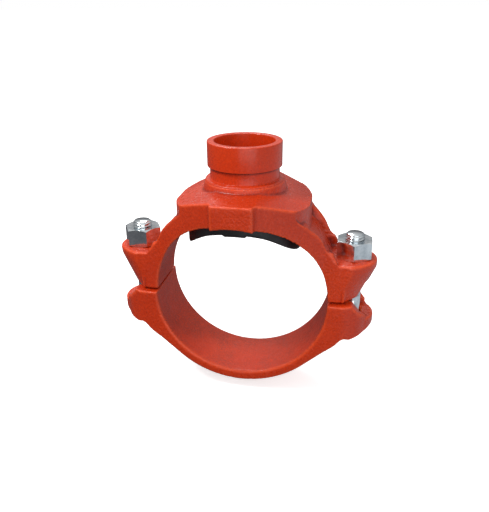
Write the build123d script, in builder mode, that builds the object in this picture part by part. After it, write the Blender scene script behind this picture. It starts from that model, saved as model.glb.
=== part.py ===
"""Mechanical tee with a grooved outlet, 4 x 1-1/2 in (DN100 x DN40), in millimetres.

The origin is where the run pipe's axis (along Y) meets the outlet's axis (+Z).  The two
castings close round the run pipe and are drawn together by two track bolts at +X and -X.
"""
import os
from math import acos, atan2, cos, hypot, pi, sin

from build123d import *

# ---- Run pipe and the fit of both castings round it
run_pipe_od = 114.3
run_clearance = 0.75  # radial room between the pipe and the castings
parting_gap = 1.5  # between the two castings, before the nuts are drawn up

# ---- Grooved outlet
centre_to_end = 101.6
outlet_od = 48.3
outlet_bore = 39.0
seat_length = 15.88
groove_width = 7.95
groove_depth = 1.6
shoulder_od = 51.0
neck_od = 53.6
outlet_edge = 0.8

# ---- Platform under the outlet
platform_top = 73.2
platform_slope = 0.28  # fall of the top, per mm beyond the centre panel
platform_half_length = 43.5
panel_half_width = 14.0
panel_reach = 47.1  # from the outlet axis to the face of the centre panel
panel_step = 4.4
facet_slope = 0.577  # fall of the casting's half width, per mm along X

# ---- Upper casting's arms and bolt pads
arm_half_width = 19.5
rib_height = 11.0  # of an arm's two ribs, over the bore
rib_width = 5.0
web_height = 6.0  # of the floor between the ribs, over the bore
pad_top = 27.0
pad_thickness = 5.0
pad_nose_radius = 17.5
lug_reach = 15.5  # from a bolt's axis to the end of its lug
lug_foot_reach = 6.0  # from a bolt's axis to the lug's foot
lug_foot_half_width = 16.5
lug_foot_corner = 8.0
bolt_notch_height = 12.0
bolt_notch_half_width = 8.5

# ---- Lower casting
strap_half_width = 22.8
strap_thickness = 7.3
lug_pocket_half_width = 11.5
lug_wall_drop = 8.2  # of the lug's walls below the bolt head's seat
lug_shelf_rise = 7.0  # of the lug's outer end over the bolt head's seat

# ---- Track bolts and heavy hex nuts, 1/2 in - 13 UNC
bolt_spacing = 146.0
bolt_d = 12.7
bolt_length = 63.5  # from under the head to the tip
bolt_thread_length = 44.0
thread_relief = 0.35  # a plain stand-in for the thread lies this far inside its crests
bolt_head_d = 21.8
bolt_head_height = 7.9
bolt_neck_long = 17.2
bolt_neck_height = 6.0
bolt_above_nut = 3.9
nut_across_flats = 22.23
nut_height = 12.3
nut_thread_clearance = 0.3
bolt_hole_clearance = 0.8
bolt_hole_stretch = 3.0  # of the upper casting's hole, along X
neck_clearance = 0.4
head_clearance = 0.7

# ---- Outlet gasket
gasket_outer_d = 76.0
gasket_inner_d = 50.4
gasket_depth_in_casting = 6.0
gasket_free_height = 5.5  # how far the free gasket stands into the bore
gasket_tab_width = 14.0
gasket_tab_depth = 1.2
gasket_clearance = 0.3
gasket_top_clearance = 0.1
collar_depth = 3.9  # of the locating collar, inside the castings' bore

# ---- Edges of the castings
cast_edge = 1.5
panel_corner = 0.9  # in plan, of the step beside the centre panel
arm_bend = 8.0  # in plan, where the facets turn into the arms

# ---- Worked out from the sizes above
bore_r = run_pipe_od / 2 + run_clearance
rib_r = bore_r + rib_height
web_r = bore_r + web_height
strap_r = bore_r + strap_thickness
bolt_x = bolt_spacing / 2
lug_end = bolt_x + lug_reach
groove_top = centre_to_end - seat_length
groove_foot = groove_top - groove_width
bolt_tip = pad_top + nut_height + bolt_above_nut
head_seat = bolt_tip - bolt_length
lug_shelf = head_seat + lug_shelf_rise
lug_bottom = head_seat - lug_wall_drop
bolt_hole_r = bolt_d / 2 + bolt_hole_clearance
thread_r = bolt_d / 2 - thread_relief
pocket_r = gasket_outer_d / 2 + gasket_clearance
pocket_ceiling_r = bore_r + gasket_depth_in_casting
collar_r = gasket_inner_d / 2 - gasket_clearance
through = 2 * lug_end  # longer than the whole fitting in any direction


def facet_reach(x):
    """Half width of the upper casting at a distance x from the outlet's axis."""
    return panel_reach - panel_step - facet_slope * (x - panel_half_width)


def sloped_top(x):
    """Height of the platform's top at a distance x from the outlet's axis."""
    return platform_top - platform_slope * (x - panel_half_width)


def is_outer_rim(edge):
    """True for an edge that bounds the outside of the platform or the arms, apart from uprights."""
    middle = edge @ 0.5
    upright = abs((edge % 0.5).Z) > 0.999
    across = abs((edge % 0.5).Y) > 0.999
    end_rim = abs(middle.Z - sloped_top(platform_half_length)) < 0.01
    on_outside = hypot(middle.X, middle.Z) > rib_r - 0.1 and middle.Z > parting_gap
    return on_outside and not upright and (end_rim or not across)


arm_start_x = panel_half_width + (panel_reach - panel_step - arm_half_width) / facet_slope
nose_x = lug_end - pad_nose_radius

os.makedirs("parts", exist_ok=True)

# ---- Space that the outlet gasket fills in the upper casting
with BuildPart() as gasket_pocket:
    with BuildSketch(Plane.XY):
        Circle(pocket_r)
        Circle(collar_r, mode=Mode.SUBTRACT)
    extrude(amount=centre_to_end)
    with BuildSketch(Plane.XZ):
        Circle(pocket_ceiling_r)
    extrude(amount=through, both=True, mode=Mode.INTERSECT)

# ---- Channel between the two ribs of the right arm, down to the bolt pad
with BuildPart() as arm_channel:
    channel_half = arm_half_width - rib_width
    with BuildSketch(Plane.XY.offset(pad_top)):
        with BuildLine():
            Polyline(
                (platform_half_length, 0),
                (platform_half_length, facet_reach(platform_half_length) - rib_width),
                (arm_start_x, channel_half),
                (lug_end, channel_half),
                (lug_end, 0),
            )
            mirror(about=Plane.XZ)
        make_face()
        fillet(vertices().group_by(Axis.X)[0], radius=rib_width)
    extrude(amount=centre_to_end)
    with BuildSketch(Plane.XZ):
        Circle(web_r)
    extrude(amount=through, both=True, mode=Mode.SUBTRACT)

# ---- Upper casting: arch, platform, grooved outlet, arms and bolt lugs in one piece
with BuildPart() as upper_housing:
    with BuildSketch(Plane.XZ):
        Circle(rib_r)
        with BuildLine():
            Polyline(
                (0, platform_top),
                (panel_half_width, platform_top),
                (platform_half_length, sloped_top(platform_half_length)),
                (platform_half_length, 0),
                (0, 0),
            )
            mirror(about=Plane.YZ)
        make_face()
        with Locations((0, parting_gap / 2)):
            Rectangle(through, through, align=(Align.CENTER, Align.MIN), mode=Mode.INTERSECT)
    extrude(amount=panel_reach, both=True)

    # Plan of the platform and the arms
    with BuildSketch(Plane.XY):
        with BuildLine():
            Polyline(
                (0, panel_reach),
                (panel_half_width - 1, panel_reach),
                (panel_half_width, panel_reach - panel_step),
                (arm_start_x, arm_half_width),
                (nose_x - rib_width, arm_half_width),
                (nose_x, pad_nose_radius),
                (nose_x, 0),
            )
            mirror(about=Plane.XZ)
            mirror(about=Plane.YZ)
        make_face()
        panel_corners = vertices().filter_by(lambda v: abs(v.X) < panel_half_width - 0.1)
        fillet(panel_corners, radius=panel_corner)
        fillet(
            vertices().filter_by(lambda v: abs(abs(v.X) - arm_start_x) < 0.1), radius=arm_bend)
    extrude(amount=centre_to_end, mode=Mode.INTERSECT)

    # Rounded outer edges of the platform and of the arms
    fillet(edges().filter_by(is_outer_rim).filter_by(lambda e: (e @ 0.5).Z < rib_r - rib_width),
           radius=cast_edge)

    # Bolt lugs: a round-nosed pad on a foot that tapers to the parting
    for side, inward in ((1, Align.MAX), (-1, Align.MIN)):
        with BuildSketch(Plane.XY.offset(parting_gap / 2)):
            with Locations((side * (bolt_x + lug_foot_reach), 0)):
                RectangleRounded(
                    bolt_x + lug_foot_reach - web_r + bore_r / 2,
                    2 * lug_foot_half_width,
                    lug_foot_corner,
                    align=(inward, Align.CENTER),
                )
        with BuildSketch(Plane.XY.offset(pad_top - pad_thickness)):
            with Locations((side * lug_end, 0)):
                RectangleRounded(
                    lug_end - web_r + bore_r / 2,
                    2 * pad_nose_radius,
                    pad_nose_radius - 0.05,
                    align=(inward, Align.CENTER),
                )
        loft()
        with BuildSketch(Plane.XY.offset(pad_top - pad_thickness)):
            with Locations((side * nose_x, 0)):
                Circle(pad_nose_radius)
                Rectangle(nose_x - bore_r, 2 * pad_nose_radius, align=(inward, Align.CENTER))
        extrude(amount=pad_thickness)
    pad_rims = edges().filter_by_position(Axis.Z, pad_top - 0.01, pad_top + 0.01)
    fillet(pad_rims.filter_by(lambda e: e.bounding_box().max.X > nose_x
                              or e.bounding_box().min.X < -nose_x), radius=cast_edge)

    # Bore of the run, the floor between each arm's ribs and the flat tops of the pads
    with BuildSketch(Plane.XZ):
        Circle(bore_r)
    extrude(amount=through, both=True, mode=Mode.SUBTRACT)
    add(arm_channel.part, mode=Mode.SUBTRACT)
    add(arm_channel.part.mirror(Plane.YZ), mode=Mode.SUBTRACT)

    # Grooved outlet and, below it, the locating collar
    with BuildSketch(Plane.XZ):
        with BuildLine():
            Polyline(
                (0, bore_r - 2 * collar_r / 3),
                (collar_r, bore_r - 2 * collar_r / 3),
                (collar_r, pocket_ceiling_r),
                (neck_od / 2, pocket_ceiling_r),
                (neck_od / 2, platform_top),
                (shoulder_od / 2, groove_foot),
                (outlet_od / 2 - groove_depth, groove_foot),
                (outlet_od / 2 - groove_depth, groove_top),
                (outlet_od / 2, groove_top),
                (outlet_od / 2, centre_to_end),
                (0, centre_to_end),
                close=True,
            )
        make_face()
        fillet(
            vertices().filter_by_position(Axis.Y, groove_foot - 0.01, groove_foot + 0.01)
            .sort_by(Axis.X)[-1],
            radius=cast_edge,
        )
    revolve(axis=Axis.Z)
    with BuildSketch(Plane.XZ):
        Circle(bore_r - collar_depth)
    extrude(amount=through, both=True, mode=Mode.SUBTRACT)
    add(gasket_pocket.part, mode=Mode.SUBTRACT)
    with Locations((0, 0, centre_to_end)):
        Hole(outlet_bore / 2)
    chamfer(
        edges().filter_by(GeomType.CIRCLE).filter_by_position(
            Axis.Z, centre_to_end - 0.01, centre_to_end + 0.01),
        length=outlet_edge,
    )

    # Bolt holes, open towards the lug's outer side near the parting
    for side in (1, -1):
        with BuildSketch(Plane.XY):
            with Locations((side * bolt_x, 0)):
                SlotCenterToCenter(bolt_hole_stretch, 2 * bolt_hole_r)
        extrude(amount=2 * pad_top, mode=Mode.SUBTRACT)
        with BuildSketch(Plane.XY):
            with Locations((side * bolt_x, 0)):
                Circle(bolt_notch_half_width)
                with Locations((side * through / 4, 0)):
                    Rectangle(through / 2, 2 * bolt_notch_half_width)
        extrude(amount=bolt_notch_height, mode=Mode.SUBTRACT)
upper_housing.part.label = "upper_housing"
export_step(upper_housing.part, "parts/upper_housing.step")

# ---- Lower casting: strap and two hollow bolt lugs in one piece
lug_root = (bolt_x - rib_width / 2, -(bolt_d + bolt_hole_r + rib_width))
root_distance = (lug_root[0] ** 2 + lug_root[1] ** 2) ** 0.5
tangent_angle = atan2(lug_root[1], lug_root[0]) - acos(strap_r / root_distance)
with BuildPart() as lower_housing:
    with BuildSketch(Plane.XZ):
        with BuildLine():
            tangent_point = (strap_r * cos(tangent_angle), strap_r * sin(tangent_angle))
            half_angle = (tangent_angle - pi / 2) / 2
            ThreePointArc(
                (0, -strap_r),
                (strap_r * cos(half_angle), strap_r * sin(half_angle)),
                tangent_point,
            )
            Polyline(
                tangent_point,
                lug_root,
                (bolt_x, lug_bottom),
                (bolt_x + bolt_head_d / 2, lug_bottom + 1),
                (lug_end, head_seat),
                (lug_end, lug_shelf),
                (bolt_x + bolt_d / 2, (lug_shelf - parting_gap) / 2),
                (bolt_x + 1, -parting_gap / 2),
                (0, -parting_gap / 2),
            )
            mirror(about=Plane.YZ)
        make_face()
        Circle(bore_r, mode=Mode.SUBTRACT)
    extrude(amount=strap_half_width, both=True)

    # Plan of the strap and the round-nosed lugs
    with BuildSketch(Plane.XY):
        with BuildLine():
            Polyline(
                (0, strap_half_width),
                (bore_r, strap_half_width),
                (nose_x, pad_nose_radius),
            )
            JernArc((nose_x, pad_nose_radius), (1, 0), pad_nose_radius, -90)
            mirror(about=Plane.XZ)
            mirror(about=Plane.YZ)
        make_face()
    extrude(amount=through, both=True, mode=Mode.INTERSECT)

    # Rounded edges along both sides of the strap
    fillet(
        edges().filter_by(
            lambda e: abs(abs((e @ 0.5).Y) - strap_half_width) < 0.01
            and (e @ 0.5).Z < lug_bottom and abs((e % 0.5).Z) < 0.9),
        radius=cast_edge,
    )

    for side in (1, -1):
        # Upper pocket, open at the top and outwards, down to the bolt's seat plate
        with BuildSketch(Plane.XY.offset(lug_shelf)):
            with Locations((side * lug_end, 0)):
                Rectangle(2 * (lug_end - strap_r), 2 * lug_pocket_half_width)
        extrude(amount=through, mode=Mode.SUBTRACT)
        # Lower pocket, round the bolt's head, and the oval hole for its neck
        with BuildSketch(Plane.XY.offset(head_seat)):
            with Locations((side * bolt_x, 0)):
                Circle(bolt_head_d / 2 + head_clearance)
        extrude(amount=-through, mode=Mode.SUBTRACT)
        with BuildSketch(Plane.XY.offset(head_seat)):
            with Locations((side * bolt_x, 0)):
                SlotOverall(bolt_neck_long + 2 * neck_clearance, bolt_d + 2 * neck_clearance, 90)
        extrude(amount=through, mode=Mode.SUBTRACT)
lower_housing.part.label = "lower_housing"
export_step(lower_housing.part, "parts/lower_housing.step")

# ---- Outlet gasket: a saddle-shaped ring round the locating collar
with BuildPart() as outlet_gasket:
    lip_r = bore_r - gasket_free_height
    with BuildSketch(Plane.XZ):
        Circle(pocket_ceiling_r - gasket_top_clearance)
        Circle(lip_r, mode=Mode.SUBTRACT)
        with Locations((0, lip_r)):
            Rectangle(gasket_tab_width, 2 * gasket_tab_depth)
    extrude(amount=gasket_outer_d / 2, both=True)
    with BuildSketch(Plane.XY):
        Circle(gasket_outer_d / 2)
        Circle(gasket_inner_d / 2, mode=Mode.SUBTRACT)
    extrude(amount=centre_to_end, mode=Mode.INTERSECT)
outlet_gasket.part.label = "outlet_gasket"
export_step(outlet_gasket.part, "parts/outlet_gasket.step")

for name, x, turn in (("left", -bolt_x, 0), ("right", bolt_x, 30)):
    # ---- Track bolt: domed head, oval neck, plain shank and a threaded end
    with BuildPart() as track_bolt:
        with BuildSketch(Plane((x, 0, 0), x_dir=(1, 0, 0), z_dir=(0, -1, 0))):
            with BuildLine():
                Polyline(
                    (0, bolt_tip),
                    (thread_r - 1, bolt_tip),
                    (thread_r, bolt_tip - 1),
                    (thread_r, bolt_tip - bolt_thread_length),
                    (bolt_d / 2, bolt_tip - bolt_thread_length),
                    (bolt_d / 2, head_seat),
                    (bolt_head_d / 2, head_seat),
                    (bolt_head_d / 2, head_seat - bolt_head_height / 3),
                )
                dome_edge = (bolt_head_d / 2, head_seat - bolt_head_height / 3)
                dome_top = (0, head_seat - bolt_head_height)
                dome_rise = dome_edge[1] - dome_top[1]
                dome_r = (dome_edge[0] ** 2 + dome_rise**2) / (2 * dome_rise)
                RadiusArc(dome_edge, dome_top, dome_r)
                Line(dome_top, (0, bolt_tip))
            make_face()
        revolve(axis=Axis((x, 0, 0), (0, 0, 1)))
        with BuildSketch(Plane((x, 0, head_seat))):
            SlotOverall(bolt_neck_long, bolt_d, 90)
        extrude(amount=bolt_neck_height)
    track_bolt.part.label = "track_bolt_" + name
    export_step(track_bolt.part, "parts/track_bolt_" + name + ".step")

    # ---- Heavy hex nut, seated on the bolt pad
    with BuildPart() as nut:
        with BuildSketch(Plane((x, 0, pad_top))):
            RegularPolygon(nut_across_flats / 2, 6, major_radius=False, rotation=turn)
            Circle(thread_r + nut_thread_clearance, mode=Mode.SUBTRACT)
        extrude(amount=nut_height)
        # Corners rounded off by a cone above and a shallower one below
        nut_corner_r = nut_across_flats / 2 / cos(pi / 6)
        with BuildSketch(Plane((x, 0, pad_top), x_dir=(1, 0, 0), z_dir=(0, -1, 0))):
            with BuildLine():
                Polyline(
                    (0, 0),
                    (nut_across_flats / 2, 0),
                    (nut_corner_r, (nut_corner_r - nut_across_flats / 2) / 2),
                    (nut_corner_r, nut_height - (nut_corner_r - nut_across_flats / 2) * 0.6),
                    (nut_across_flats / 2, nut_height),
                    (0, nut_height),
                    close=True,
                )
            make_face()
        revolve(axis=Axis((x, 0, 0), (0, 0, 1)), mode=Mode.INTERSECT)
    nut.part.label = "nut_" + name
    export_step(nut.part, "parts/nut_" + name + ".step")
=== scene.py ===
"""Looks of the grooved-outlet mechanical tee: paint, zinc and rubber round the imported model."""

import math

import bmesh
import bpy
import numpy as np
from mathutils import Matrix, Vector


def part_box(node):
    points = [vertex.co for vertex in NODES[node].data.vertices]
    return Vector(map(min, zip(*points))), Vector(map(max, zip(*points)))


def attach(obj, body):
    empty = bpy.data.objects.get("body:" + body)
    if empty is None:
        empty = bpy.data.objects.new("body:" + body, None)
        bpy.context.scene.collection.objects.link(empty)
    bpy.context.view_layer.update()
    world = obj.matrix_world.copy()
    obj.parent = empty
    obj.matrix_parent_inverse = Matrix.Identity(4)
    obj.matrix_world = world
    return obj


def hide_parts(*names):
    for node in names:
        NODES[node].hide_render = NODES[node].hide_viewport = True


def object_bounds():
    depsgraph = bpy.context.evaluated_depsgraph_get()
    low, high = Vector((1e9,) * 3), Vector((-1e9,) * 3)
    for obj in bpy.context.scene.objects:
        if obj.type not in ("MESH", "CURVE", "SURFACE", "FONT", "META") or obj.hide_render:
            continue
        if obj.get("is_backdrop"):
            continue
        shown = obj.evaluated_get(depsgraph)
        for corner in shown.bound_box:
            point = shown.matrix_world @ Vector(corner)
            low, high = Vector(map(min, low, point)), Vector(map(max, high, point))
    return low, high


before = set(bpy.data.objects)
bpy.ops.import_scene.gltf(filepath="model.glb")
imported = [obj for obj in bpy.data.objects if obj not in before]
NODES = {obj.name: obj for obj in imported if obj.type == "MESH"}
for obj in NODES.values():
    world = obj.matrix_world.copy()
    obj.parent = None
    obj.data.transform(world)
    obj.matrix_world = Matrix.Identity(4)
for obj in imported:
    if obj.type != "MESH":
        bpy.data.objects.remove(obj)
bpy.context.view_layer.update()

MM = 0.001
LOWER_HALF_TRAVEL = 8.2 * MM    # the floor stays clear of the lower half at its furthest
BOLT_X = 73.0 * MM
HEAD_RADIUS = 10.9 * MM
HEAD_HEIGHT = 7.9 * MM
THREAD_LENGTH = 44 * MM
THREAD_LEAD = 25.4 / 13 * MM
THREAD_RADIUS = 6.33 * MM
THREAD_DEPTH = 0.9 * MM
RING_FOOT = 74.2          # mm, lowest edge of the lathed outlet ring, inside the casting
CAST_TOP = 76.4 * MM      # the cast skin ends here, under the ring
SEAT_UNDERSIDE = 85.9 * MM

PAINT_DEEP = (0.58, 0.036, 0.004, 1)
PAINT_LIGHT = (0.68, 0.048, 0.006, 1)
PAINT_PIT = (0.30, 0.014, 0.004, 1)
# painted highlight for convex edges
PAINT_EDGE_HIGHLIGHT = (0.80, 0.085, 0.02, 1)
# painted shade for concave corners
PAINT_CORNER_SHADE = (0.20, 0.008, 0.003, 1)
PAINT_SPECK = (0.16, 0.022, 0.014, 1)
GROOVE_SHADE = (0.05, 0.004, 0.002, 1)
ZINC_DULL = (0.56, 0.61, 0.64, 1)
ZINC_BRIGHT = (0.88, 0.92, 0.94, 1)


# ---------------------------------------------------------------- node helpers
def add_node(tree, kind, place, **settings):
    """A node of that kind at that place, with properties and inputs set by name."""
    node = tree.nodes.new(kind)
    node.location = place
    for name, value in settings.items():
        if name in node.inputs.keys():
            node.inputs[name].default_value = value
        else:
            setattr(node, name, value)
    return node


def new_group(name, inputs, outputs):
    """An empty shader node group with those sockets: (name, socket type, default)."""
    group = bpy.data.node_groups.new(name, "ShaderNodeTree")
    for label, kind, value in inputs:
        socket = group.interface.new_socket(name=label, in_out="INPUT", socket_type=kind)
        if value is not None:
            socket.default_value = value
    for label, kind in outputs:
        group.interface.new_socket(name=label, in_out="OUTPUT", socket_type=kind)
    return group


def noise(tree, place, coordinates, scale, detail=3.0, roughness=0.55):
    """A noise texture read at those coordinates."""
    node = add_node(tree, "ShaderNodeTexNoise", place)
    node.inputs["Scale"].default_value = scale
    node.inputs["Detail"].default_value = detail
    node.inputs["Roughness"].default_value = roughness
    tree.links.new(coordinates, node.inputs["Vector"])
    return node


def remap(tree, place, value, low, high, to_low=0.0, to_high=1.0):
    """value from low..high to to_low..to_high, clamped."""
    node = add_node(tree, "ShaderNodeMapRange", place)
    node.inputs["From Min"].default_value = low
    node.inputs["From Max"].default_value = high
    node.inputs["To Min"].default_value = to_low
    node.inputs["To Max"].default_value = to_high
    tree.links.new(value, node.inputs["Value"])
    return node.outputs["Result"]


def mix_colour(tree, place, factor, first, second):
    """first where factor is 0, second where it is 1."""
    node = add_node(tree, "ShaderNodeMix", place, data_type="RGBA")
    colours = [s for s in node.inputs if s.type == "RGBA"]
    tree.links.new(factor, node.inputs["Factor"])
    for socket, colour in zip(colours, (first, second)):
        if isinstance(colour, tuple):
            socket.default_value = colour
        else:
            tree.links.new(colour, socket)
    return [s for s in node.outputs if s.type == "RGBA"][0]


def calculate(tree, place, operation, first, second):
    """A Math node on two values, each a socket or a number."""
    node = add_node(tree, "ShaderNodeMath", place, operation=operation)
    for socket, value in zip(node.inputs, (first, second)):
        if isinstance(value, (int, float)):
            socket.default_value = value
        else:
            tree.links.new(value, socket)
    return node.outputs[0]


# ------------------------------------------------------------- shared effects
def build_cast_relief():
    """Relief of a sand casting under paint: pits and grains over broad, shallow waves."""
    group = new_group(
        "cast_relief",
        [("Grain Size", "NodeSocketFloat", 900.0), ("Wave Size", "NodeSocketFloat", 90.0),
         ("Grain Share", "NodeSocketFloat", 0.5)],
        [("Height", "NodeSocketFloat"), ("Pits", "NodeSocketFloat")],
    )
    group_in = add_node(group, "NodeGroupInput", (-900, 0))
    group_out = add_node(group, "NodeGroupOutput", (600, 0))
    place = add_node(group, "ShaderNodeTexCoord", (-900, 300)).outputs["Object"]
    grain = noise(group, (-600, 200), place, 900.0, 4.0, 0.65)
    wave = noise(group, (-600, -100), place, 90.0, 3.0, 0.5)
    group.links.new(group_in.outputs["Grain Size"], grain.inputs["Scale"])
    group.links.new(group_in.outputs["Wave Size"], wave.inputs["Scale"])
    pits = remap(group, (-300, 200), grain.outputs["Fac"], 0.32, 0.62)
    shaped = calculate(group, (-100, 200), "MULTIPLY", pits, group_in.outputs["Grain Share"])
    height = calculate(group, (200, 0), "ADD", shaped, wave.outputs["Fac"])
    group.links.new(height, group_out.inputs["Height"])
    group.links.new(pits, group_out.inputs["Pits"])
    return group


CAST_RELIEF = build_cast_relief()


# ------------------------------------------------------------------ materials
def new_material(name):
    """An empty node material, its Principled shader and its tree."""
    material = bpy.data.materials.new(name)
    material.use_nodes = True
    tree = material.node_tree
    tree.nodes.clear()
    output = add_node(tree, "ShaderNodeOutputMaterial", (900, 0))
    shader = add_node(tree, "ShaderNodeBsdfPrincipled", (600, 0))
    tree.links.new(shader.outputs["BSDF"], output.inputs["Surface"])
    return material, shader, tree


def make_housing_paint():
    """Orange-red paint over a sand casting.

    It is darker in the grain's pits, darker in concave corners as painted shade, and paler along
    convex edges as a painted highlight.
    The machined outlet above the platform is smooth, with shade left under its seat.  The bore
    of the run is rough and only dusted with paint, so dark specks show through.
    """
    material, shader, tree = new_material("housing_paint")
    place = add_node(tree, "ShaderNodeTexCoord", (-1900, 0)).outputs["Object"]
    relief = add_node(tree, "ShaderNodeGroup", (-1400, -200), node_tree=CAST_RELIEF)
    relief.inputs["Grain Size"].default_value = 620.0
    relief.inputs["Wave Size"].default_value = 120.0
    relief.inputs["Grain Share"].default_value = 0.55

    axes = add_node(tree, "ShaderNodeSeparateXYZ", (-1700, -500))
    tree.links.new(place, axes.inputs["Vector"])
    machined = remap(tree, (-1400, -500), axes.outputs["Z"], 77.0 * MM, 78.0 * MM)
    rough_cast = calculate(tree, (-1200, -500), "SUBTRACT", 1.0, machined)
    side_square = calculate(tree, (-1500, -750), "MULTIPLY", axes.outputs["X"], axes.outputs["X"])
    rise_square = calculate(tree, (-1500, -900), "MULTIPLY", axes.outputs["Z"], axes.outputs["Z"])
    both = calculate(tree, (-1350, -800), "ADD", side_square, rise_square)
    from_run = calculate(tree, (-1200, -800), "SQRT", both, 0.0)
    bore = remap(tree, (-1050, -800), from_run, 58.7 * MM, 58.2 * MM)
    below = remap(tree, (-1050, -1000), axes.outputs["Z"], 30.0 * MM, 10.0 * MM)
    dusted = calculate(tree, (-900, -900), "MULTIPLY", bore, below)

    broad = noise(tree, (-1400, 300), place, 22.0, 2.0, 0.5)
    patches = remap(tree, (-1200, 300), broad.outputs["Fac"], 0.35, 0.65)
    red = mix_colour(tree, (-1000, 300), patches, PAINT_DEEP, PAINT_LIGHT)
    pit_share = calculate(tree, (-1000, 100), "MULTIPLY", relief.outputs["Pits"], 0.30)
    painted = mix_colour(tree, (-800, 200), pit_share, red, PAINT_PIT)

    turn = add_node(tree, "ShaderNodeAttribute", (-1400, 700), attribute_name="edge_turn")
    # Painted highlight: the colour pales along convex edges, where edge_turn rises above zero.
    crisp = remap(tree, (-1200, 800), turn.outputs["Fac"], 0.12, 0.6, 0.0, 0.55)
    # Painted shade: the colour darkens in concave corners, where edge_turn falls below zero.
    corner = remap(tree, (-1200, 600), turn.outputs["Fac"], -0.12, -0.6, 0.0, 0.85)
    edge_lit = mix_colour(tree, (-600, 300), crisp, painted, PAINT_EDGE_HIGHLIGHT)
    corner_shaded = mix_colour(tree, (-400, 300), corner, edge_lit, PAINT_CORNER_SHADE)

    specks = noise(tree, (-1400, -1200), place, 1500.0, 4.0, 0.7)
    drift = noise(tree, (-1400, -1400), place, 45.0, 3.0, 0.6)
    speck_mask = remap(tree, (-1200, -1200), specks.outputs["Fac"], 0.42, 0.62)
    drift_mask = remap(tree, (-1200, -1400), drift.outputs["Fac"], 0.38, 0.60, 0.25, 0.8)
    dust_share = calculate(tree, (-1000, -1300), "MULTIPLY", speck_mask, drift_mask)
    bare = calculate(tree, (-800, -1200), "MULTIPLY", dust_share, dusted)
    worn = mix_colour(tree, (-200, 300), bare, corner_shaded, PAINT_SPECK)

    groove_top = remap(tree, (-1050, -1600), axes.outputs["Z"], SEAT_UNDERSIDE - 2 * MM,
                       SEAT_UNDERSIDE)
    under_seat = remap(tree, (-1050, -1800), axes.outputs["Z"], 86.0 * MM, 85.95 * MM)
    shade = calculate(tree, (-850, -1700), "MULTIPLY", groove_top, under_seat)
    depth_square = calculate(tree, (-1500, -1950), "MULTIPLY", axes.outputs["Y"], axes.outputs["Y"])
    plan_square = calculate(tree, (-1350, -1950), "ADD", side_square, depth_square)
    from_outlet = calculate(tree, (-1200, -1950), "SQRT", plan_square, 0.0)
    outside = remap(tree, (-1050, -1950), from_outlet, 20.5 * MM, 21.5 * MM, 0.0, 0.9)
    shaded = calculate(tree, (-650, -1700), "MULTIPLY", shade, outside)
    final = mix_colour(tree, (0, 300), shaded, worn, GROOVE_SHADE)
    tree.links.new(final, shader.inputs["Base Color"])

    gloss = noise(tree, (-1400, -2000), place, 260.0, 3.0, 0.6)
    paint_gloss = remap(tree, (-700, -700), gloss.outputs["Fac"], 0.3, 0.7, 0.22, 0.36)
    rougher = calculate(tree, (-500, -700), "MULTIPLY", dusted, 0.25)
    roughness = calculate(tree, (-300, -700), "ADD", paint_gloss, rougher)
    tree.links.new(roughness, shader.inputs["Roughness"])

    strength = calculate(tree, (-900, -500), "MULTIPLY", rough_cast, 0.85)
    eased = calculate(tree, (-700, -500), "ADD", strength, 0.15)
    height = calculate(tree, (-500, -350), "MULTIPLY", relief.outputs["Height"], eased)
    sandy = calculate(tree, (-500, -1050), "MULTIPLY", specks.outputs["Fac"], dusted)
    all_height = calculate(tree, (-200, -450), "ADD", height, sandy)
    bump = add_node(tree, "ShaderNodeBump", (200, -300))
    bump.inputs["Strength"].default_value = 0.75
    bump.inputs["Distance"].default_value = 0.4 * MM
    tree.links.new(all_height, bump.inputs["Height"])
    tree.links.new(bump.outputs["Normal"], shader.inputs["Normal"])
    shader.inputs["Specular IOR Level"].default_value = 0.36
    shader.inputs["Coat Weight"].default_value = 0.10
    shader.inputs["Coat Roughness"].default_value = 0.12
    return material


def make_bolt_zinc():
    """Bright zinc plating: near-neutral metal with faint cloudy patches and fine scuffs."""
    material, shader, tree = new_material("bolt_zinc")
    place = add_node(tree, "ShaderNodeTexCoord", (-1200, 0)).outputs["Object"]
    clouds = noise(tree, (-900, 200), place, 160.0, 3.0, 0.55)
    tone = remap(tree, (-700, 200), clouds.outputs["Fac"], 0.35, 0.65)
    zinc = mix_colour(tree, (-400, 200), tone, ZINC_DULL, ZINC_BRIGHT)
    tree.links.new(zinc, shader.inputs["Base Color"])
    scuffs = noise(tree, (-900, -200), place, 1400.0, 3.0, 0.6)
    roughness = remap(tree, (-500, -200), scuffs.outputs["Fac"], 0.3, 0.7, 0.08, 0.20)
    tree.links.new(roughness, shader.inputs["Roughness"])
    bump = add_node(tree, "ShaderNodeBump", (200, -300))
    bump.inputs["Strength"].default_value = 0.15
    bump.inputs["Distance"].default_value = 0.05 * MM
    tree.links.new(scuffs.outputs["Fac"], bump.inputs["Height"])
    tree.links.new(bump.outputs["Normal"], shader.inputs["Normal"])
    shader.inputs["Metallic"].default_value = 1.0
    return material


def make_gasket_rubber():
    """Moulded black rubber with a soft sheen and a faint bloom."""
    material, shader, tree = new_material("gasket_rubber")
    place = add_node(tree, "ShaderNodeTexCoord", (-1200, 0)).outputs["Object"]
    bloom = noise(tree, (-900, 200), place, 120.0, 3.0, 0.6)
    tone = remap(tree, (-700, 200), bloom.outputs["Fac"], 0.4, 0.7)
    black = mix_colour(tree, (-400, 200), tone, (0.010, 0.010, 0.011, 1), (0.024, 0.024, 0.026, 1))
    tree.links.new(black, shader.inputs["Base Color"])
    grain = noise(tree, (-900, -200), place, 2200.0, 2.0, 0.5)
    roughness = remap(tree, (-500, -200), grain.outputs["Fac"], 0.3, 0.7, 0.42, 0.58)
    tree.links.new(roughness, shader.inputs["Roughness"])
    bump = add_node(tree, "ShaderNodeBump", (200, -300))
    bump.inputs["Strength"].default_value = 0.2
    bump.inputs["Distance"].default_value = 0.05 * MM
    tree.links.new(grain.outputs["Fac"], bump.inputs["Height"])
    tree.links.new(bump.outputs["Normal"], shader.inputs["Normal"])
    return material


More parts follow.
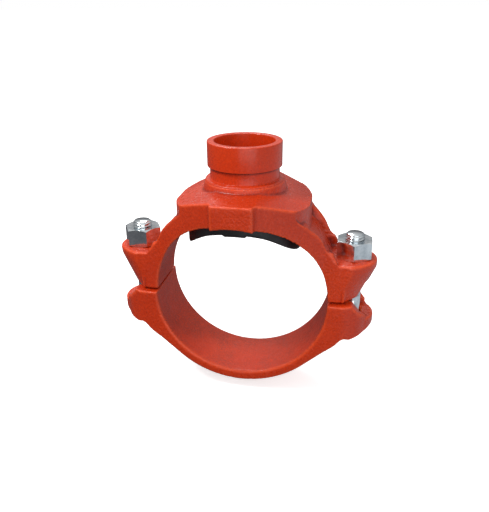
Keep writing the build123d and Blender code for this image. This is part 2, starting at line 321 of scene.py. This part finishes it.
def make_floor_white():
    """Plain pale floor that gives back a little light of its own."""
    material, shader, tree = new_material("floor_white")
    shader.inputs["Base Color"].default_value = (0.90, 0.90, 0.90, 1)
    shader.inputs["Roughness"].default_value = 0.9
    shader.inputs["Emission Color"].default_value = (1, 1, 1, 1)
    shader.inputs["Emission Strength"].default_value = 0.62
    return material


# -------------------------------------------------------------------- meshes
def mesh_piece(name, points, faces, material, body, smooth=True):
    """A new piece in the row frame that rides on a body and takes its finish from a slot."""
    mesh = bpy.data.meshes.new(name)
    mesh.from_pydata([tuple(p) for p in points], [], [tuple(f) for f in faces])
    mesh.validate()
    mesh.materials.append(material)
    mesh.polygons.foreach_set("use_smooth", np.full(len(mesh.polygons), smooth))
    mesh.update()
    piece = bpy.data.objects.new(name, mesh)
    bpy.context.scene.collection.objects.link(piece)
    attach(piece, body)
    return piece


def grid_faces(rows, columns):
    """Quads of a grid of rows x columns points whose columns close on themselves."""
    row, column = np.meshgrid(np.arange(rows - 1), np.arange(columns), indexing="ij")
    after = (column + 1) % columns
    corners = [row * columns + column, row * columns + after,
               (row + 1) * columns + after, (row + 1) * columns + column]
    return np.stack(corners, -1).reshape(-1, 4)


def loop_faces(rows, columns):
    """Quads of a grid whose rows close on themselves as its columns do."""
    closing = grid_faces(2, columns)
    closing = np.where(closing >= columns, closing - columns, closing + (rows - 1) * columns)
    return np.vstack([grid_faces(rows, columns), closing])


def clean_mesh(mesh, merge=0.0, face_out=True):
    """Merges points closer than a distance and turns the faces outwards."""
    work = bmesh.new()
    work.from_mesh(mesh)
    if merge:
        bmesh.ops.remove_doubles(work, verts=work.verts, dist=merge)
    if face_out:
        bmesh.ops.recalc_face_normals(work, faces=work.faces)
    work.to_mesh(mesh)
    work.free()


def lathe(name, profile, axis_x, columns, material, body):
    """Closed surface of revolution: each (radius, height) of the profile swept round the axis.

    The profile is a closed loop, listed so that its faces point outwards.
    """
    radius, height = np.array(profile).T
    angle = np.arange(columns) / columns * 2 * np.pi
    points = np.stack([axis_x + np.outer(radius, np.cos(angle)), np.outer(radius, np.sin(angle)),
                       np.repeat(height[:, None], columns, 1)], -1).reshape(-1, 3)
    return mesh_piece(name, points, loop_faces(len(profile), columns), material, body)


def rounded_profile(corners, steps=5):
    """A closed profile whose corners (radius, height, rounding) are turned by parabolic arcs."""
    loop = []
    count = len(corners)
    for index, (radius, height, rounding) in enumerate(corners):
        corner = np.array([radius, height])
        if rounding == 0:
            loop.append(corner)
            continue
        before = np.array(corners[index - 1][:2]) - corner
        after = np.array(corners[(index + 1) % count][:2]) - corner
        start = corner + before / np.linalg.norm(before) * rounding
        end = corner + after / np.linalg.norm(after) * rounding
        for share in np.linspace(0, 1, steps):
            loop.append((1 - share) ** 2 * start + 2 * share * (1 - share) * corner
                        + share**2 * end)
    return loop


def oval_radius(angle, half_length, half_width):
    """Distance from the centre to the rim of an oval with two half-round ends along Y."""
    straight = half_length - half_width
    across, along = np.abs(np.cos(angle)), np.abs(np.sin(angle))
    flat = half_width / np.maximum(across, 1e-9)
    bow = straight * along + np.sqrt(np.maximum(half_width**2 - (straight * across) ** 2, 0))
    return np.where(flat * along <= straight, flat, bow)


def make_track_bolt(name, axis_x, seat, tip, node):
    """Track bolt: a domed head, an oval neck, a plain shank and a rolled thread.

    Every part is one grid of radius against height and angle.  In the thread the radius is the
    crest less the depth times a flat-topped triangle wave of (height / lead - angle / turn).
    """
    columns = 72
    rim = 2.6 * MM
    shank, neck_half, neck_height = 6.35 * MM, 8.6 * MM, 6.0 * MM
    thread_foot = tip - THREAD_LENGTH
    rows_per_lead = 14
    rise = np.linspace(0, np.pi / 2, 10)
    dome = np.stack([HEAD_RADIUS * np.sin(rise),
                     seat - rim - (HEAD_HEIGHT - rim) * np.cos(rise)], -1)
    angle = np.arange(columns) / columns * 2 * np.pi
    heights = [dome[:, 1], [seat - 0.3 * MM, seat, seat + 0.01 * MM]]
    radii = [np.repeat(dome[:, :1], columns, 1),
             np.repeat([[HEAD_RADIUS], [HEAD_RADIUS - 0.3 * MM]], columns, 0).reshape(2, columns)]
    neck = oval_radius(angle, neck_half, shank)
    radii.append(neck[None, :])
    neck_rows = np.array([seat + neck_height - 0.8 * MM, seat + neck_height])
    heights.append(neck_rows)
    radii.append(np.stack([neck, np.full(columns, shank)]))
    heights.append([thread_foot - 0.2 * MM])
    radii.append(np.full((1, columns), shank))
    rows = int((tip - thread_foot) / THREAD_LEAD * rows_per_lead)
    climb = np.linspace(thread_foot, tip, rows)
    height, turn = np.meshgrid(climb, angle, indexing="ij")
    phase = (height / THREAD_LEAD - turn / (2 * np.pi)) % 1.0
    wave = np.clip(np.abs(2 * phase - 1) * 1.25 - 0.12, 0, 1)
    point = np.clip((height - (tip - 1.0 * MM)) / (1.0 * MM), 0, 1) * 1.0 * MM
    run_out = np.clip((height - thread_foot) / THREAD_LEAD, 0, 1)
    crest = THREAD_RADIUS - THREAD_DEPTH * wave * run_out
    radii.append(np.minimum(crest, THREAD_RADIUS - point))
    heights.append(climb)
    radius = np.vstack(radii)
    level = np.concatenate(heights)
    points = np.stack([axis_x + radius * np.cos(angle), radius * np.sin(angle),
                       np.repeat(level[:, None], columns, 1)], -1).reshape(-1, 3)
    faces = [tuple(f) for f in grid_faces(len(level), columns)]
    centre = len(points)
    points = np.vstack([points, [[axis_x, 0, tip]]])
    last = (len(level) - 1) * columns
    for column in range(columns):
        faces.append((last + column, last + (column + 1) % columns, centre))
    piece = mesh_piece(name, points, faces, bolt_zinc, "lower_half")
    clean_mesh(piece.data, merge=1e-6)
    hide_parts(node)
    return piece


def make_outlet_end(body):
    """Machined end of the outlet: shoulder, groove, gasket seat and bore, as one lathed ring."""
    corners = [(19.45, RING_FOOT, 0), (26.35, RING_FOOT, 0), (25.5, 77.77, 1.2),
               (22.6, 77.77, 0.35), (22.5, 85.72, 0.35), (24.15, 85.72, 0.3),
               (24.15, 101.6, 0.7), (19.5, 101.6, 0.8)]
    profile = np.array(rounded_profile(corners)) * MM
    piece = lathe("outlet_end", profile, 0.0, 160, housing_paint, body)
    edge = piece.modifiers.new("crisp edges", "EDGE_SPLIT")
    edge.split_angle = math.radians(32)
    return piece


def make_gasket(body):
    """Saddle-shaped ring: in plan a ring, in height between two arcs round the run's axis.

    Its section is a rounded box, sign(cos) |cos|^s by sign(sin) |sin|^s.  The lower arc is
    pulled in, as the free gasket stands further into the bore than its pocket is deep, with a
    shallow groove along it and a small tab across its middle.  Both ends hang down a little.
    """
    columns, outer, inner = 240, 38.0, 25.2
    low_arc, high_arc = 50.4, 63.7
    angle = np.arange(columns) / columns * 2 * np.pi
    section = np.linspace(0, 2 * np.pi, 48, endpoint=False)
    squareness = 0.32
    across = np.sign(np.cos(section)) * np.abs(np.cos(section)) ** squareness
    up = np.sign(np.sin(section)) * np.abs(np.sin(section)) ** squareness
    radius = (outer + inner) / 2 + across * (outer - inner) / 2
    plan, turn = np.meshgrid(radius, angle, indexing="ij")
    x, y = plan * np.cos(turn), plan * np.sin(turn)
    tab = np.clip((7.5 - np.abs(x)) / 1.0, 0, 1) * 1.2
    groove = np.exp(-((plan - 31.5) / 1.6) ** 2) * 1.6
    low = np.sqrt((low_arc + groove - tab) ** 2 - x**2)
    high = np.sqrt(high_arc**2 - x**2)
    z = (low + high) / 2 + up[:, None] * (high - low) / 2
    drop = np.where(x > 0, 3.2, 2.2) * smooth_step(np.abs(x), 16.0, 38.0)
    z = z - drop * (0.75 - 0.25 * up[:, None])
    points = np.stack([x, y, z], -1).reshape(-1, 3) * MM
    piece = mesh_piece("gasket_ring", points, loop_faces(len(section), columns), gasket_rubber,
                       body)
    clean_mesh(piece.data)
    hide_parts("outlet_gasket")
    return piece


def merged_copy(node):
    """A copy of a CAD node's mesh with its doubles merged, in the row frame."""
    mesh = NODES[node].data.copy()
    clean_mesh(mesh, merge=2e-6, face_out=False)
    return mesh


def applied(piece):
    """The piece with its modifiers applied."""
    depsgraph = bpy.context.evaluated_depsgraph_get()
    mesh = bpy.data.meshes.new_from_object(piece.evaluated_get(depsgraph))
    piece.modifiers.clear()
    piece.data = mesh
    return piece


def mark_turns(mesh, full=0.16, rounds=2):
    """Stores in edge_turn how far each point stands out of its neighbours' plane, -1 to 1.

    The mean step to its neighbours against its normal, over the mean length of those steps, is
    positive along edges and negative in corners.
    """
    count = len(mesh.vertices)
    ends = np.empty(len(mesh.edges) * 2, dtype=int)
    mesh.edges.foreach_get("vertices", ends)
    ends = ends.reshape(-1, 2)
    points, normals = np.empty(count * 3), np.empty(count * 3)
    mesh.vertices.foreach_get("co", points)
    mesh.vertices.foreach_get("normal", normals)
    points, normals = points.reshape(-1, 3), normals.reshape(-1, 3)
    first = np.concatenate([ends[:, 0], ends[:, 1]])
    other = np.concatenate([ends[:, 1], ends[:, 0]])
    shared = np.maximum(np.bincount(first, minlength=count), 1)

    def mean_of(values):
        return np.bincount(first, weights=values, minlength=count) / shared

    step = points[other] - points[first]
    away = -np.einsum("ij,ij->i", step, normals[first])
    turn = mean_of(away) / np.maximum(mean_of(np.linalg.norm(step, axis=1)), 1e-9)
    for _ in range(rounds):
        turn = 0.5 * turn + 0.5 * mean_of(turn[other])
    attribute = mesh.attributes.new("edge_turn", "FLOAT", "POINT")
    attribute.data.foreach_set("value", np.clip(turn / full, -1, 1))


def cut_level(mesh, height):
    """Takes off what stands above a height and closes the ring that the cut leaves open."""
    work = bmesh.new()
    work.from_mesh(mesh)
    everything = work.verts[:] + work.edges[:] + work.faces[:]
    bmesh.ops.bisect_plane(work, geom=everything, plane_co=(0, 0, height), plane_no=(0, 0, 1),
                           clear_outer=True)
    rims = [edge for edge in work.edges if edge.is_boundary]
    bmesh.ops.bridge_loops(work, edges=rims)
    bmesh.ops.recalc_face_normals(work, faces=work.faces)
    work.to_mesh(mesh)
    work.free()


def soften_casting(node, name, body, shape, cut_above=None, voxel=0.82 * MM, passes=4):
    """The casting's own form as a fine, even skin, shaped by a function and softly rounded.

    A voxel remesh of the node makes the skin, shape moves its points, and smoothing rounds its
    edges and fills its corners as a sand casting's are.
    """
    mesh = merged_copy(node)
    mesh.name = name
    piece = bpy.data.objects.new(name, mesh)
    bpy.context.scene.collection.objects.link(piece)
    remesh = piece.modifiers.new("skin", "REMESH")
    remesh.mode = "VOXEL"
    remesh.voxel_size = voxel
    applied(piece)
    points = np.empty(len(piece.data.vertices) * 3)
    piece.data.vertices.foreach_get("co", points)
    points = shape(points.reshape(-1, 3))
    piece.data.vertices.foreach_set("co", points.ravel())
    smooth = piece.modifiers.new("rounding", "SMOOTH")
    smooth.factor = 0.5
    smooth.iterations = passes
    applied(piece)
    if cut_above is not None:
        cut_level(piece.data, cut_above)
    piece.data.materials.clear()
    piece.data.materials.append(housing_paint)
    piece.data.polygons.foreach_set("use_smooth", np.full(len(piece.data.polygons), True))
    mark_turns(piece.data)
    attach(piece, body)
    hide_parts(node)
    return piece


def smooth_step(value, low, high):
    """0 below low, 1 above high and a smooth S between."""
    share = np.clip((value - low) / (high - low), 0, 1)
    return share * share * (3 - 2 * share)


def rounded_square(turn, half, corner):
    """Distance from the centre of a square with rounded corners to its rim, at an angle."""
    across, along = np.abs(np.cos(turn)), np.abs(np.sin(turn))
    inset = half - corner
    side = half / np.maximum(np.maximum(across, along), 1e-9)
    on_side = np.minimum(across, along) * side <= inset
    rest = np.maximum(corner**2 - inset**2 * (across - along) ** 2, 0)
    return np.where(on_side, side, inset * (across + along) + np.sqrt(rest))


def shape_upper(points):
    """Rounds the platform's ends and the lugs in plan and blends the lugs into the arms.

    The platform's end follows a wide arc, |x| = c + sqrt(r^2 - y^2), over the arms, and its top
    falls away towards the rim.  Below the pad each lug is round in plan: a point's distance from
    the lug's centre is scaled by the round's radius over the rounded square's.
    """
    arc_centre, arc_radius, arc_flat = -5.6, 49.6, 3.0
    foot_level, lug_height = 0.75, 21.25
    foot_centre, foot_radius, foot_corner = 62.5, 16.5, 8.0
    pad_centre_shift, pad_radius_gain, pad_corner_gain = 8.5, 1.0, 9.0
    arm_half_width, lug_half_width = 19.5, 17.0
    x, y, z = points.T / MM
    from_run = np.hypot(x, z)
    channel = np.abs(y) < 19.0
    over_arms = smooth_step(from_run, np.where(channel, 64.5, 69.3), np.where(channel, 67.0, 71.0))
    over_arms = over_arms * smooth_step(z, 34, 38)
    aside = np.maximum(np.abs(y) - arc_flat, 0)
    end = arc_centre + np.sqrt(np.maximum(arc_radius**2 - aside**2, 0))
    beyond = np.maximum(np.abs(x) - end, 0) * over_arms
    x = np.sign(x) * (np.abs(x) - beyond)
    from_neck = np.hypot(x, y)
    top = smooth_step(z, 62, 66) * smooth_step(from_neck, 33, 46)
    z = z - 1.2 * top

    out = np.abs(x)
    up = np.clip((z - foot_level) / lug_height, 0, 1)
    centre = foot_centre + pad_centre_shift * up
    radius = foot_radius + pad_radius_gain * up
    forward = out - centre
    reach, turn = np.hypot(forward, y), np.arctan2(np.abs(y), forward)
    square = rounded_square(np.minimum(turn, np.pi / 2), radius,
                            foot_corner + pad_corner_gain * up)
    share = smooth_step(reach, 10.5, 14.5) * smooth_step(forward, 0.0, 3.0) * (z < 24)
    scale = 1 + (radius / square - 1) * share
    x = np.sign(x) * (centre + forward * scale)
    y = y * scale

    out = np.abs(x)
    flank = smooth_step(np.abs(y), 10.0, 15.5) * (z < 30)
    beside = smooth_step(from_run, 67.2, 68.2)
    widen = arm_half_width / lug_half_width - 1
    widen = widen * smooth_step(out, 60, 64) * (1 - smooth_step(out, 67, 84))
    filled = np.minimum(np.abs(y) * (1 + widen * flank * beside), arm_half_width)
    y = np.sign(y) * np.maximum(np.abs(y), filled)
    return np.stack([x, y, z], -1) * MM


def shape_lower(points):
    """Fills the flanks of the lugs out towards the strap's sides and rounds their underside.

    |y| grows by a smooth share of the room left to the strap's half width, and the underside
    rises along a line from the strap to the lug's nose.
    """
    bore, nose_centre, nose_radius, half_width = 57.9, 71, 17.5, 22.8
    x, y, z = points.T / MM
    out = np.abs(x)
    flank = smooth_step(np.abs(y), 12.5, 17.0)
    wanted = half_width - 5.2 * smooth_step(out, 66, 84) - 12.0 * smooth_step(out, 82, 92)
    taper = half_width - 5.3 * (out - bore) / 13.1
    nose = np.sqrt(np.maximum(nose_radius**2 - (out - nose_centre) ** 2, 1))
    now = np.where(out < bore, half_width, np.where(out < nose_centre, taper, nose))
    grow = np.clip(wanted / np.maximum(now, 6.0), 1.0, 1.35)
    y = np.where(out > bore, y * (1 + (grow - 1) * flank), y)
    under = -25.0 + 0.42 * np.maximum(out - 74, 0)
    low = smooth_step(out, 64, 71)
    z = np.where((z < under) & (out > 64), z + (under - z) * low * 0.85, z)
    return np.stack([x, y, z], -1) * MM


# --------------------------------------------------------------------- build
housing_paint = make_housing_paint()
bolt_zinc = make_bolt_zinc()
gasket_rubber = make_gasket_rubber()

FINISH = {
    "upper_housing": housing_paint,
    "lower_housing": housing_paint,
    "outlet_gasket": gasket_rubber,
    "track_bolt_left": bolt_zinc,
    "track_bolt_right": bolt_zinc,
    "nut_left": bolt_zinc,
    "nut_right": bolt_zinc,
}
for node_name, finish in FINISH.items():
    mesh = NODES[node_name].data
    mesh.materials.clear()
    mesh.materials.append(finish)

soften_casting("upper_housing", "upper_casting", "upper_half", shape_upper, cut_above=CAST_TOP)
make_outlet_end("upper_half")
soften_casting("lower_housing", "lower_casting", "lower_half", shape_lower)
make_gasket("upper_half")
for side, sign in (("left", -1), ("right", 1)):
    low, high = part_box("track_bolt_" + side)
    make_track_bolt("track_bolt_shown_" + side, sign * BOLT_X, low[2] + HEAD_HEIGHT, high[2],
                    "track_bolt_" + side)


# --------------------------------------------------------------------- stage
def make_floor(height):
    """A wide flat floor under the part."""
    points = [(-40, -40, height), (40, -40, height), (40, 40, height), (-40, 40, height)]
    mesh = bpy.data.meshes.new("floor")
    mesh.from_pydata(points, [], [(0, 1, 2, 3)])
    mesh.materials.append(make_floor_white())
    floor = bpy.data.objects.new("floor", mesh)
    bpy.context.scene.collection.objects.link(floor)
    floor.visible_glossy = False
    floor.visible_diffuse = False
    floor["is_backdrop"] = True


def add_area_light(name, place, target, size, power):
    """A square soft light at place that faces target."""
    data = bpy.data.lights.new(name, "AREA")
    data.shape = "SQUARE"
    data.size = size
    data.energy = power
    lamp = bpy.data.objects.new(name, data)
    lamp.location = place
    lamp.rotation_euler = (Vector(target) - Vector(place)).to_track_quat("-Z", "Y").to_euler()
    bpy.context.scene.collection.objects.link(lamp)


def make_studio_world():
    """Soft light from above over a dim room, and a low pale panel on the right.

    Where the camera sees it, it is a plain white backdrop.
    """
    world = bpy.data.worlds.new("studio")
    world.use_nodes = True
    tree = world.node_tree
    background = tree.nodes["Background"]
    place = add_node(tree, "ShaderNodeTexCoord", (-900, 0)).outputs["Generated"]
    axes = add_node(tree, "ShaderNodeSeparateXYZ", (-700, 0))
    tree.links.new(place, axes.inputs["Vector"])
    share = remap(tree, (-500, 0), axes.outputs["Z"], -0.1, 0.85)
    room = mix_colour(tree, (-250, 0), share, (0.12, 0.12, 0.13, 1), (0.72, 0.72, 0.72, 1))
    to_right = remap(tree, (-500, -300), axes.outputs["X"], 0.25, 0.45)
    low = remap(tree, (-500, -500), axes.outputs["Z"], 0.10, -0.10)
    panel_share = calculate(tree, (-300, -400), "MULTIPLY", to_right, low)
    room = mix_colour(tree, (-150, -200), panel_share, room, (0.50, 0.54, 0.58, 1))
    seen = add_node(tree, "ShaderNodeLightPath", (-250, 300)).outputs["Is Camera Ray"]
    colour = mix_colour(tree, (-50, 100), seen, room, (1.0, 1.0, 1.0, 1))
    tree.links.new(colour, background.inputs["Color"])
    background.inputs["Strength"].default_value = 1.0
    return world


def add_camera():
    """A camera in front, a little to the right, looking down at the part."""
    place = Vector((67.9, -353.2, 179.8)) * MM
    yaw, pitch, roll = math.radians(11.0), math.radians(23.8), math.radians(-0.48)
    forward = Vector((-math.sin(yaw) * math.cos(pitch), math.cos(yaw) * math.cos(pitch),
                      -math.sin(pitch)))
    right = Vector((math.cos(yaw), math.sin(yaw), 0))
    up = right.cross(forward)
    tilted_right = math.cos(roll) * right + math.sin(roll) * up
    tilted_up = -math.sin(roll) * right + math.cos(roll) * up
    turn = Matrix((tilted_right, tilted_up, -forward)).transposed()
    data = bpy.data.cameras.new("camera")
    data.lens = 40.14
    data.sensor_fit = "AUTO"
    data.sensor_width = 36.0
    camera = bpy.data.objects.new("camera", data)
    camera.matrix_world = Matrix.Translation(place) @ turn.to_4x4()
    bpy.context.scene.collection.objects.link(camera)
    bpy.context.scene.camera = camera


make_floor(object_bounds()[0][2] - LOWER_HALF_TRAVEL)
add_area_light("key", (-0.45, -0.30, 0.75), (0, 0, 0.02), 0.22, 5.0)
add_area_light("fill", (0.30, -0.85, 0.26), (0, 0, 0.01), 0.9, 4.0)
add_area_light("back", (-0.25, 0.65, 0.80), (0, 0, 0.03), 0.35, 3.5)
bpy.context.scene.world = make_studio_world()
bpy.context.scene.view_settings.view_transform = "Standard"
add_camera()
